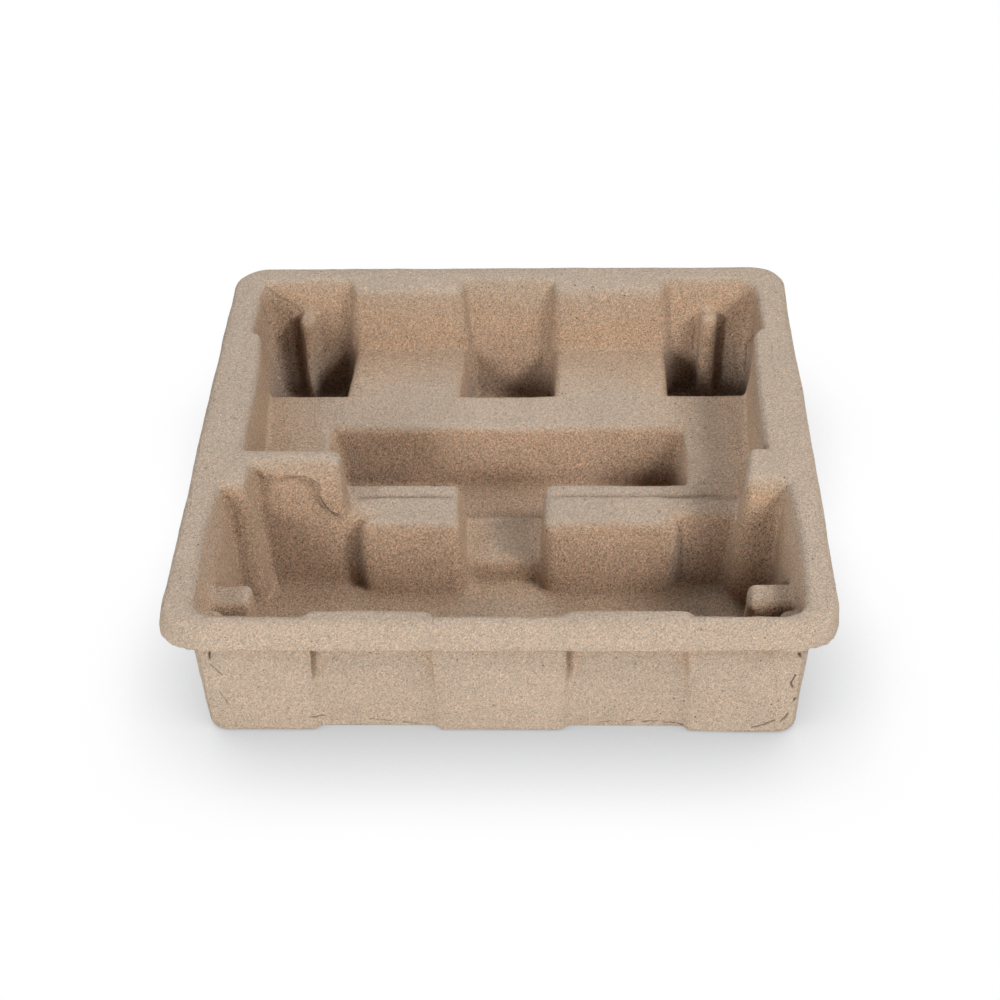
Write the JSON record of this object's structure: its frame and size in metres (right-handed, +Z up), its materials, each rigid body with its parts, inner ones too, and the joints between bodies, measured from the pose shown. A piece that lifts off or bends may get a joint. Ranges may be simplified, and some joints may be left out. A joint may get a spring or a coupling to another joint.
{
  "type": "moulded pulp packing tray",
  "caption": "Shallow moulded paper-pulp packing tray with a turned-down rim, deep wells, a raised shelf with a trough, and a notched dam that cradles packed goods.",
  "frame": {"origin": "middle of the tray's rim outline, on the plane of the underside that the tray stands on", "axes": "+Z up out of the open top, +X along the longer side to the right, +Y from the front wall to the back wall"},
  "size_m": [0.3, 0.284, 0.076],
  "materials": {
    "pulp": "matte felted paper pulp, unbleached"
  },
  "bodies": {
    "root": {"pulp_tray": "pulp"}
  },
  "joints": []
}
